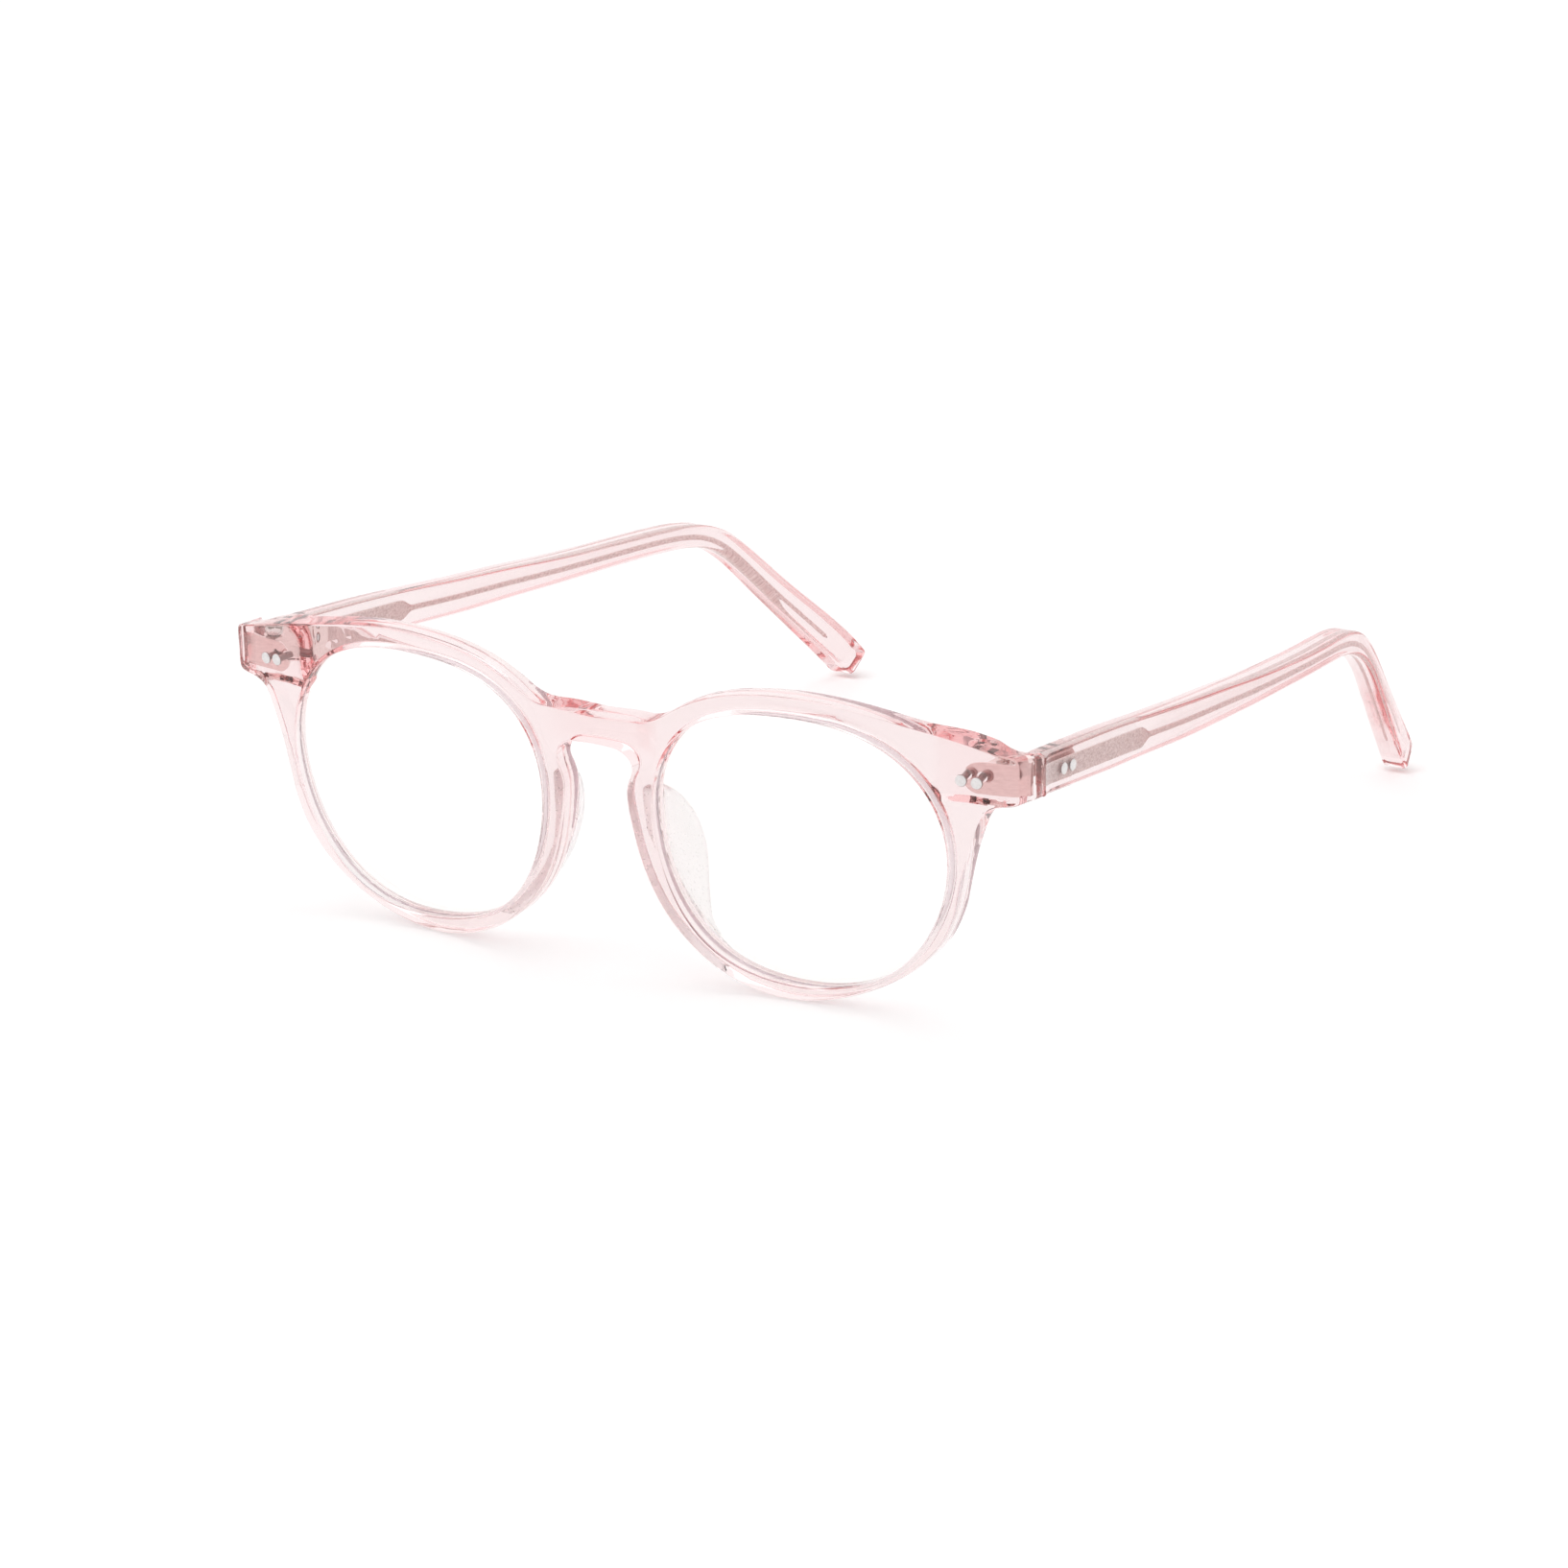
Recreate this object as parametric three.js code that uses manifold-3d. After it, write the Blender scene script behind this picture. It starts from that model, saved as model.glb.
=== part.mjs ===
import * as THREE from 'three';
import { mergeVertices } from 'three/addons/utils/BufferGeometryUtils.js';
import Module from 'manifold-3d';

// Blue light glasses: one clear pink acetate front, two lenses, two nose pads and two clear
// temples with cast-in core wires, on riveted three-knuckle hinges.
// Millimetres, +Z up. The front of the glasses faces -Y, the temples run back toward +Y,
// the wearer's left is +X. The rims and the temple tips stand on z = 0.

const wasm = await Module();
wasm.setup();

// Placing
const DEPTH_CENTRE = 72.673;         // distance moved toward -Y so that the whole is centred on y = 0
const LEAN = 5.614 * Math.PI / 180; // forward lean of the front, top toward -Y

// Front: face curve, seen from above y = WRAP x^2 (1 + WRAP_END (x / 60)^2)
const WRAP = 0.0011988;
const WRAP_END = 0.29123;
const RIM_DEPTH = 3.9;              // front to back thickness of the rims
const FRONT_HALF = 66;              // half width of the front face at the end pieces
const SIDE_HALF = 66.85;            // half width at the butt joint with the temples
const BUTT_Y = 9.4;                 // plane of the butt joint
const FLARE_END = 12.3;             // the temples widen ahead of this to meet the end pieces
const END_EXTRA = [[50.5, 0], [52.5, 0.15], [55, 0.8], [57, 1.3], [60, 1.7], [64, 2.2]]; // [x, added thickness]
const BLOCK_FROM = 32.6;              // end pieces and bridge are thicker above this height
const BRIDGE_EXTRA = 1.2;           // added thickness of the bridge
const BRIDGE_FADE = [4, 11];
const END_DROP = 0.09;              // end pieces slope down toward the back
const TOP_DROP = 0.09;              // and their outer top corners as much again

// Lens opening, polar about its centre
const LENS_X = 32.01;
const LENS_Z = 22.77;
const LENS_R = 21.94;
const GROOVE_OUT = 0.9;             // groove reaches this far outside the opening
const GROOVE_FROM = 0.9;            // groove starts this far behind the front face
const GROOVE_TO = 3.1;
const GAP = 0.3;                    // clearance between separate pieces

// Hinges
const AXIS_X = 60.9;
const AXIS_Y = 8.9;
const KNUCKLE_R = 1.35;
const BORE_R = 0.8;
const PIN_R = 0.5;
const KNUCKLE_Z = [34.3, 35.6, 35.85, 37.35, 37.6, 38.9];
const LEAF_T = 0.9;                 // temple leaf thickness
const SCREW_HEAD_R = 1.1;
const PLATE_T = 0.8;                // front leaf thickness
const PLATE_ROUND = 58.8;           // centre of the front leaf's rounded end
const PLATE_END = 10.2;             // length along the back of the end piece where the front leaf ends
const HEAD_R = 0.88;                // rivet heads
const FRONT_RIVETS = [[57.89, 36.29], [60.13, 36.05]];
const TEMPLE_RIVETS = [[16.2, 35.95], [18.8, 35.8]];

// Temples: [distance back, outer face x] with a straight run behind the hinge
const OUTER = [[58, 64.37], [66.8, 63.95], [76.6, 63.35], [86.4, 62.65], [96.5, 61.85],
  [104, 61], [111.4, 59.9], [118, 58.8], [124, 57.6], [130, 56.1], [136, 54.5], [142, 52.9],
  [150, 51.2]];
const OUTER_SLOPE = -0.0367;
const OUTER_START = [10.9, 66.1];
// [distance back, thickness]
const THICK = [[8, 3.4], [43, 3.4], [60, 3.9], [78, 4.25], [97, 4.5], [107, 4.5], [118, 4.1],
  [140, 4], [152, 3.8]];
// Side view centre line [distance back, height] with [half height]
const SPINE = [[8.3, 36.5, 2.95], [18, 35.85, 2.98], [31, 35, 3.02], [42.5, 34.2, 2.82],
  [54.5, 33.3, 2.62], [66.8, 32.6, 2.32], [76.6, 31.97, 2.07], [86.5, 31.5, 1.87],
  [96.5, 31.1, 1.78], [104, 30.8, 1.76], [110, 30.35, 1.76], [114.4, 29.5, 1.8],
  [118.2, 28, 1.82], [121.2, 26.1, 1.82], [124.6, 23.3, 1.82], [131.1, 17.3, 1.95],
  [136, 12.9, 2.1], [140.6, 8.7, 2.25], [144.6, 4.9, 2.28], [147.7, 1.65, 2.15]];
const SPINE_STEPS = 72;
const WIRE_OFFSET = 0.455;          // depth of the wire below the outer face, part of the thickness
const WIRE_T = 0.9;                 // thickness of wire and plate, across the temple
const WIRE_START = 0.012;           // plate and wire start and stop at these parts of the length
const WIRE_END = 0.945;
const SHIELD_HALF = 1.5;           // half height of the wide plate near the hinge
const WIRE_HALF = 0.42;             // half height of the wire
const WIRE_SINK = 0.2;              // plate and wire lie this far below the middle of the temple
const SHIELD_END = 40.2;            // the plate narrows to the wire from here
const SHIELD_TAPER = 3;

// ---------------------------------------------------------------- helpers

function solid(geometry) {
  const clean = geometry.clone();
  clean.deleteAttribute('normal');
  clean.deleteAttribute('uv');
  const merged = mergeVertices(clean, 1e-5);
  const mesh = new wasm.Mesh({
    numProp: 3,
    vertProperties: new Float32Array(merged.attributes.position.array),
    triVerts: new Uint32Array(merged.index.array),
  });
  return new wasm.Manifold(mesh);
}

function geometryOf(manifold) {
  const mesh = manifold.getMesh();
  const geometry = new THREE.BufferGeometry();
  geometry.setAttribute('position', new THREE.BufferAttribute(new Float32Array(mesh.vertProperties), 3));
  geometry.setIndex(new THREE.BufferAttribute(new Uint32Array(mesh.triVerts), 1));
  return geometry;
}

function shapeOf(points) {
  return new THREE.Shape(points.map((p) => new THREE.Vector2(p[0], p[1])));
}

// Seen from above: outline in (x, y), carried up from one height to another.
function planPrism(points, low, high) {
  const geometry = new THREE.ExtrudeGeometry(shapeOf(points), { depth: high - low, bevelEnabled: false });
  geometry.translate(0, 0, low);
  return geometry;
}

// Seen from the front: outline in (x, z), carried from one y to another.
function frontPrism(shape, from, to) {
  const geometry = new THREE.ExtrudeGeometry(shape, { depth: to - from, bevelEnabled: false });
  const turn = new THREE.Matrix4().makeBasis(
    new THREE.Vector3(1, 0, 0),
    new THREE.Vector3(0, 0, 1),
    new THREE.Vector3(0, -1, 0),
  );
  geometry.applyMatrix4(turn);
  geometry.translate(0, to, 0);
  return geometry;
}

// Seen from the side: outline in (y, z), carried from one x to another.
function sidePrism(points, from, to) {
  const geometry = new THREE.ExtrudeGeometry(shapeOf(points), { depth: to - from, bevelEnabled: false });
  const turn = new THREE.Matrix4().makeBasis(
    new THREE.Vector3(0, 1, 0),
    new THREE.Vector3(0, 0, 1),
    new THREE.Vector3(1, 0, 0),
  );
  geometry.applyMatrix4(turn);
  geometry.translate(from, 0, 0);
  return geometry;
}

// Straight round bar from one point to another.
function bar(radius, from, to, sides = 24) {
  const a = new THREE.Vector3(...from);
  const b = new THREE.Vector3(...to);
  const length = a.distanceTo(b);
  const profile = [[0, 0], [radius, 0], [radius, length], [0, length]];
  const geometry = new THREE.LatheGeometry(profile.map((p) => new THREE.Vector2(p[0], p[1])), sides);
  const along = b.clone().sub(a).normalize();
  const turn = new THREE.Quaternion().setFromUnitVectors(new THREE.Vector3(0, 1, 0), along);
  geometry.applyQuaternion(turn);
  geometry.translate(a.x, a.y, a.z);
  return geometry;
}

// Rivet: flat head at the start, thinner pin to the end.
function rivet(from, to, headDepth, sides = 24) {
  const a = new THREE.Vector3(...from);
  const b = new THREE.Vector3(...to);
  const length = a.distanceTo(b);
  const edge = 0.08;
  const profile = [[0, 0], [HEAD_R - edge, 0], [HEAD_R, edge], [HEAD_R, headDepth],
    [PIN_R, headDepth], [PIN_R, length], [0, length]];
  const geometry = new THREE.LatheGeometry(profile.map((p) => new THREE.Vector2(p[0], p[1])), sides);
  const along = b.clone().sub(a).normalize();
  geometry.applyQuaternion(new THREE.Quaternion().setFromUnitVectors(new THREE.Vector3(0, 1, 0), along));
  geometry.translate(a.x, a.y, a.z);
  return geometry;
}

function mirrored(geometry) {
  const copy = geometry.clone();
  const position = copy.attributes.position;
  for (let i = 0; i < position.count; i += 1) {
    position.setX(i, -position.getX(i));
  }
  const index = copy.index;
  for (let i = 0; i < index.count; i += 3) {
    const second = index.getX(i + 1);
    index.setX(i + 1, index.getX(i + 2));
    index.setX(i + 2, second);
  }
  return copy;
}

function readTable(table, at) {
  if (at <= table[0][0]) {
    return table[0][1];
  }
  for (let i = 1; i < table.length; i += 1) {
    const [a0, b0] = table[i - 1];
    const [a1, b1] = table[i];
    if (at <= a1) {
      return b0 + (b1 - b0) * (at - a0) / (a1 - a0);
    }
  }
  return table[table.length - 1][1];
}

// Smooth curve through the points, as plain pairs.
function smooth(points, count) {
  const curve = new THREE.SplineCurve(points.map((p) => new THREE.Vector2(p[0], p[1])));
  return curve.getSpacedPoints(count).map((p) => [p.x, p.y]);
}

// ---------------------------------------------------------------- front

function faceY(x) {
  return WRAP * x * x * (1 + WRAP_END * (x / 60) ** 2);
}

function faceSlope(x) {
  return WRAP * (2 * x + 4 * WRAP_END * x ** 3 / 3600);
}

function leaned(geometry) {
  geometry.rotateX(LEAN);
  return geometry;
}

// Point on the front's own (x, height, depth) to the standing position.
function standing(x, height, depth) {
  return new THREE.Vector3(x, depth, height).applyAxisAngle(new THREE.Vector3(1, 0, 0), LEAN);
}

function lensRadius(a) {
  return LENS_R + 0.1 * Math.cos(a) - 0.06 * Math.sin(a) + 1.25 * Math.cos(2 * a) - 0.15 * Math.sin(2 * a)
    + 0.13 * Math.cos(3 * a) + 0.47 * Math.sin(3 * a) - 0.37 * Math.cos(4 * a) - 0.02 * Math.sin(4 * a)
    + 0.08 * Math.cos(5 * a) + 0.07 * Math.sin(5 * a);
}

function lensOutline(grow, sign, count) {
  const points = [];
  for (let i = 0; i < count; i += 1) {
    const a = 2 * Math.PI * i / count;
    const r = lensRadius(a) + grow;
    points.push([sign * (LENS_X + r * Math.cos(a)), LENS_Z + r * Math.sin(a)]);
  }
  return sign > 0 ? points : points.reverse();
}

// Lower outline of the rim, polar about the lens centre, from below the end piece to the nose side.
function rimRadius(a) {
  return 27.76 - 0.19 * Math.cos(a) + 5.9 * Math.sin(a) - 1.3 * Math.cos(2 * a) + 0.23 * Math.sin(2 * a)
    + 0.07 * Math.cos(3 * a) - 0.15 * Math.sin(3 * a) - 0.44 * Math.cos(4 * a) - 0.13 * Math.sin(4 * a)
    - 0.05 * Math.cos(5 * a) - 0.25 * Math.sin(5 * a);
}

function halfOutline() {
  const top = smooth([[0, 38.35], [3.5, 38.5], [6.6, 38.7], [9, 38.95], [11.4, 39.9], [14, 41.5],
    [17.8, 43.35], [21.8, 44.6], [26.6, 45.4], [32.4, 45.75], [37.8, 45.55], [43.3, 44.85],
    [49.6, 43.6], [55.2, 42.4], [60.6, 41.1], [66.3, 39.8]], 44);
  const end = [[67.3, 39], [67.4, 34], [66.3, 33.15]];
  const side = smooth([[65, 32.9], [63.6, 32.7], [62.3, 32.45], [61.2, 31.9], [60.3, 30.8], [59.5, 29],
    [58.85, 27.2], [58.2, 25.2], [57.65, 23.2], [57.15, 21], [56.6, 18.6], [55.95, 16]], 20);
  const lower = [];
  for (let i = 0; i <= 36; i += 1) {
    const a = -(20 + 162 * i / 36) * Math.PI / 180;
    const r = rimRadius(a);
    lower.push([LENS_X + r * Math.cos(a), LENS_Z + r * Math.sin(a)]);
  }
  const keyhole = smooth([[5.35, 25.5], [5.25, 27.6], [5.6, 29.2], [6.15, 30.4], [6.35, 31.5], [5.95, 32.6],
    [5.1, 33.4], [3.9, 33.95], [2, 34.15], [0, 34.2]], 16);
  return [...top, ...end, ...side, ...lower, ...keyhole];
}

function frontOutline() {
  const right = halfOutline();
  const left = right.slice(1, -1).map((p) => [-p[0], p[1]]).reverse();
  return [...right, ...left];
}

// Band seen from above, between two depths behind the face curve.
function band(from, to, half, count) {
  const points = [];
  for (let i = 0; i <= count; i += 1) {
    const x = -half + 2 * half * i / count;
    points.push([x, faceY(x) + from]);
  }
  for (let i = count; i >= 0; i -= 1) {
    const x = -half + 2 * half * i / count;
    points.push([x, faceY(x) + to]);
  }
  return points;
}

// Thickness added behind the rims: sloping blocks at the end pieces, a pad behind the bridge.
function extraDepth(x) {
  const side = Math.abs(x);
  return readTable(END_EXTRA, side) + BRIDGE_EXTRA * (1 - THREE.MathUtils.smoothstep(side, ...BRIDGE_FADE));
}

// Front seen from above, either with the even thickness of the rims or with the added blocks.
function frontPlan(thick) {
  const points = [];
  const count = 36;
  const half = thick ? 63.8 : 60.5;
  for (let i = 0; i <= count; i += 1) {
    const x = -FRONT_HALF + 2 * FRONT_HALF * i / count;
    points.push([x, faceY(x)]);
  }
  points.push([SIDE_HALF + 0.5, 14.5]);
  points.push([half, thick ? 14.5 : faceY(half) + RIM_DEPTH]);
  const inner = 44;
  for (let i = 1; i < inner; i += 1) {
    const x = half - 2 * half * i / inner;
    points.push([x, faceY(x) + RIM_DEPTH + (thick ? extraDepth(x) : 0)]);
  }
  points.push([-half, thick ? 14.5 : faceY(half) + RIM_DEPTH]);
  points.push([-SIDE_HALF - 0.5, 14.5]);
  return points;
}

// The end pieces drop toward the back, the rims do not.
function dropEnds(geometry) {
  const position = geometry.attributes.position;
  for (let i = 0; i < position.count; i += 1) {
    const x = Math.abs(position.getX(i));
    const height = position.getZ(i);
    const behind = position.getY(i) - faceY(x);
    const corner = THREE.MathUtils.smoothstep(x, 61, 64.5) * THREE.MathUtils.smoothstep(height, 36, 40);
    const drop = END_DROP * THREE.MathUtils.smoothstep(x, 56, 63) + TOP_DROP * corner;
    position.setZ(i, height - drop * behind);
  }
  return geometry;
}

// Pocket and plate behind the end piece, seen from above, parallel to the back of the rim.
function platePlan(deep, shallow, from, to) {
  const start = [55, 5.75];
  const along = [0.976, 0.218];
  const back = [-0.218, 0.976];
  const at = (s, d) => [start[0] + along[0] * s + back[0] * d, start[1] + along[1] * s + back[1] * d];
  return [at(from, -deep), at(to, -deep), at(to, -shallow), at(from, -shallow)];
}

function frontRivetLine(spot) {
  const [x, height] = spot;
  const slope = faceSlope(x);
  const normal = new THREE.Vector3(-slope, 1, 0).normalize();
  const start = new THREE.Vector3(x, faceY(x) - 0.12, height);
  const finish = start.clone().addScaledVector(normal, 5.6);
  const a = standing(start.x, start.z, start.y);
  const b = standing(finish.x, finish.z, finish.y);
  return [a.toArray(), b.toArray()];
}

function along(line, from, to) {
  const a = new THREE.Vector3(...line[0]);
  const b = new THREE.Vector3(...line[1]);
  const unit = b.clone().sub(a).normalize();
  const p = a.clone().addScaledVector(unit, from);
  const q = a.clone().addScaledVector(unit, to);
  return [p.toArray(), q.toArray()];
}

function bothSides(geometry) {
  const body = solid(geometry);
  return body.add(solid(mirrored(geometryOf(body))));
}

function buildFront() {
  const shape = shapeOf(frontOutline());
  shape.holes.push(new THREE.Path(lensOutline(0, 1, 60).map((p) => new THREE.Vector2(p[0], p[1]))));
  shape.holes.push(new THREE.Path(lensOutline(0, -1, 60).map((p) => new THREE.Vector2(p[0], p[1]))));
  const plan = solid(planPrism(frontPlan(false), -4, BLOCK_FROM + 1))
    .add(solid(planPrism(frontPlan(true), BLOCK_FROM, 52)));
  let body = solid(frontPrism(shape, -3, 18)).intersect(plan);
  const groove = shapeOf(lensOutline(GROOVE_OUT, 1, 60));
  const slot = solid(frontPrism(groove, -3, 18))
    .intersect(solid(planPrism(band(GROOVE_FROM, GROOVE_TO, 60, 30), -4, 52)));
  body = body.subtract(slot);
  body = body.subtract(solid(mirrored(geometryOf(slot))));
  body = solid(leaned(dropEnds(geometryOf(body))));
  const butt = planPrism([[50, BUTT_Y], [80, BUTT_Y], [80, BUTT_Y + 20], [50, BUTT_Y + 20]], 20, 60);
  body = body.subtract(bothSides(butt));
  const pocket = planPrism(platePlan(PLATE_T + GAP, -6, 1.3, PLATE_END + GAP), 34, 39.2);
  body = body.subtract(bothSides(pocket));
  body = body.subtract(bothSides(bar(SCREW_HEAD_R + GAP, [AXIS_X, AXIS_Y, 33.7], [AXIS_X, AXIS_Y, 40.05])));
  for (const spot of FRONT_RIVETS) {
    const line = frontRivetLine(spot);
    body = body.subtract(bothSides(bar(HEAD_R + GAP, ...along(line, -1, 0.75))));
    body = body.subtract(bothSides(bar(BORE_R, ...along(line, -1, 6))));
  }
  return geometryOf(body);
}

function buildLens() {
  const outline = shapeOf(lensOutline(GROOVE_OUT - GAP, 1, 60));
  const blank = solid(frontPrism(outline, -3, 18));
  const plan = band(GROOVE_FROM + GAP, GROOVE_TO - GAP, 60, 30);
  const body = blank.intersect(solid(planPrism(plan, -4, 52)));
  return leaned(geometryOf(body));
}

// Nose pad: a D-shaped wing behind the nose side of the rim, leaning outward as it runs back.
function buildNosePad() {
  const rear = smooth([[3.2, 28.3], [5.7, 25.8], [7.3, 23.9], [8.6, 21.4], [9.2, 19.1], [9.35, 16.9],
    [9.05, 15], [8.5, 13.1], [7.6, 11.3], [6.5, 9.6], [5.6, 8.2], [4.6, 7.2]], 24);
  const outline = [[2.05, 28.5], ...rear, [4.2, 7.4]];
  const geometry = sidePrism(outline, 0, 1);
  const noseRoot = [[7, 15.2], [9.6, 12.9], [11.3, 11.3], [13.1, 10.1], [15, 8.9], [16.9, 7.9], [19.1, 7.05],
    [21.4, 6.35], [23.9, 6.05], [25.7, 5.9], [29, 5.75]];
  const rimRoot = [[7, 17], [9.6, 14.1], [12.5, 12], [16, 10.1], [20, 9.2], [24, 8.95], [29, 9]];
  const rearNose = [[7, 13.6], [9.6, 12.3], [11.3, 11.6], [13.1, 11], [15, 10.4], [16.9, 10], [19.1, 9.4],
    [21.4, 8.9], [23.9, 8.3], [25.6, 7.7], [29, 6.7]];
  const position = geometry.attributes.position;
  for (let i = 0; i < position.count; i += 1) {
    const y = position.getY(i);
    const z = position.getZ(i);
    const root = 2.05 + (28.5 - z) * 0.103;
    const back = THREE.MathUtils.clamp((y - root) / 7, 0, 1);
    const nose = THREE.MathUtils.lerp(readTable(noseRoot, z), readTable(rearNose, z), back);
    const outer = THREE.MathUtils.lerp(readTable(rimRoot, z), readTable(rearNose, z) + 1.5, back);
    position.setX(i, position.getX(i) < 0.5 ? nose : Math.max(outer, nose + 1.3));
  }
  return geometryOf(solid(geometry));
}

// ---------------------------------------------------------------- hinge metal

function ring(x, y, low, high) {
  return solid(bar(KNUCKLE_R, [x, y, low], [x, y, high], 32));
}

function boreAt(x, y) {
  return solid(bar(BORE_R, [x, y, 30], [x, y, 44], 32));
}

function buildFrontLeaf() {
  const [low0, low1, , , high0, high1] = KNUCKLE_Z;
  const rounded = shapeOf([[PLATE_ROUND, 34.3], [66, 34.3], [66, 38.9], [PLATE_ROUND, 38.9]]);
  let body = solid(planPrism(platePlan(PLATE_T, 0, 1.6, PLATE_END), 34.3, 38.9));
  body = body.intersect(solid(frontPrism(rounded, 0, 12))
    .add(solid(bar((38.9 - 34.3) / 2, [PLATE_ROUND, 0, 36.6], [PLATE_ROUND, 12, 36.6], 48))));
  const armPlan = [[59.7, 6.4], [61.6, 6.8], [AXIS_X + 1.1, AXIS_Y], [AXIS_X - KNUCKLE_R + 0.1, AXIS_Y]];
  for (const [low, high] of [[low0, low1], [high0, high1]]) {
    body = body.add(solid(planPrism(armPlan, low, high)));
    body = body.add(ring(AXIS_X, AXIS_Y, low, high));
  }
  body = body.subtract(boreAt(AXIS_X, AXIS_Y));
  for (const spot of FRONT_RIVETS) {
    body = body.subtract(solid(bar(BORE_R, ...along(frontRivetLine(spot), -1, 8))));
  }
  return geometryOf(body);
}

function outerX(y) {
  if (y <= OUTER[0][0]) {
    return OUTER_START[1] + OUTER_SLOPE * (y - OUTER_START[0]);
  }
  return readTable(OUTER, y);
}

function leafPlan(from, to, outside, inside) {
  return [[outerX(from) - outside, from], [outerX(to) - outside, to], [outerX(to) - inside, to],
    [outerX(from) - inside, from]];
}

function leafSide(grow) {
  const drop = -0.072;
  const from = 10.6 - grow;
  const to = 21.8 + grow;
  const high = 38.45 + grow;
  const low = 34.3 - grow;
  const nose = 1.2;
  return [[from, low], [to - nose, low + drop * (to - from)], [to, low + nose + drop * (to - from)],
    [to, high - nose + drop * (to - from)], [to - nose, high + drop * (to - from)], [from, high]];
}

function buildTempleLeaf() {
  const inner = 3.4;
  const depth = 0.1;
  const plan = leafPlan(10.6, 22.4, inner - depth, inner - depth + LEAF_T);
  let body = solid(planPrism(plan, 30, 42)).intersect(solid(sidePrism(leafSide(0), 50, 70)));
  const [, , low, high] = KNUCKLE_Z;
  const arm = [[AXIS_X - 0.2, AXIS_Y + 0.6], [AXIS_X + 1.2, AXIS_Y - 0.2], [62.35, 10.4], [62.35, 12.4],
    [61.85, 12.4], [61.2, 10.6]];
  body = body.add(solid(planPrism(arm, low, high)));
  body = body.add(ring(AXIS_X, AXIS_Y, low, high));
  body = body.subtract(boreAt(AXIS_X, AXIS_Y));
  for (const [y, z] of TEMPLE_RIVETS) {
    body = body.subtract(solid(bar(BORE_R, [70, y, z], [50, y, z])));
  }
  return geometryOf(body);
}

function buildScrew() {
  const profile = [[0, 34], [PIN_R, 34], [PIN_R, 39.2], [SCREW_HEAD_R, 39.2], [SCREW_HEAD_R, 39.55],
    [0.95, 39.75], [0, 39.75]];
  const geometry = new THREE.LatheGeometry(profile.map((p) => new THREE.Vector2(p[0], p[1])), 32);
  geometry.rotateX(Math.PI / 2);
  geometry.translate(AXIS_X, AXIS_Y, 0);
  const slot = new THREE.BoxGeometry(3, 0.3, 0.4);
  slot.translate(AXIS_X, AXIS_Y, 39.75);
  return geometryOf(solid(geometry).subtract(solid(slot)));
}

// ---------------------------------------------------------------- temples

const spineCurve = new THREE.CatmullRomCurve3(
  SPINE.map((p) => new THREE.Vector3(p[0], p[1], p[2])),
  false,
  'centripetal',
);

// Outline of the temple or of what lies in it, seen from the side.
function spineOutline(halfAt, start, end, steps) {
  const above = [];
  const below = [];
  for (let i = 0; i <= steps; i += 1) {
    const t = start + (end - start) * i / steps;
    const p = spineCurve.getPointAt(t);
    const tangent = spineCurve.getTangentAt(t);
    const size = Math.hypot(tangent.x, tangent.y);
    const half = halfAt(p);
    above.push([p.x - tangent.y / size * half, p.y + tangent.x / size * half]);
    below.push([p.x + tangent.y / size * half, p.y - tangent.x / size * half]);
  }
  return [...below, ...above.reverse()];
}

function squareFront(points, y) {
  return points.map((p) => [Math.max(p[0], y), p[1]]);
}

// Temple seen from above between two depths, each a part of the thickness plus an allowance.
function templePlan(outsideAt, insideAt, from, to, count) {
  const points = [];
  for (let i = 0; i <= count; i += 1) {
    const y = from + (to - from) * i / count;
    points.push([outsideAt(y), y]);
  }
  for (let i = count; i >= 0; i -= 1) {
    const y = from + (to - from) * i / count;
    points.push([insideAt(y), y]);
  }
  return points;
}

function wireHalf(y) {
  const t = THREE.MathUtils.smoothstep(y, SHIELD_END, SHIELD_END + SHIELD_TAPER);
  return THREE.MathUtils.lerp(SHIELD_HALF, WIRE_HALF, t);
}

function wireMiddle(y) {
  return outerX(y) - WIRE_OFFSET * readTable(THICK, y);
}

function wireSolid(grow, start, end) {
  const side = spineOutline((p) => wireHalf(p.x) + grow, start, end, 60);
  const half = WIRE_T / 2 + grow;
  const plan = templePlan((y) => wireMiddle(y) + half, (y) => wireMiddle(y) - half, 6, 152, 48);
  const body = solid(sidePrism(side, 40, 75)).intersect(solid(planPrism(plan, -5, 50)));
  return body.translate([0, 0, -WIRE_SINK]);
}

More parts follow.
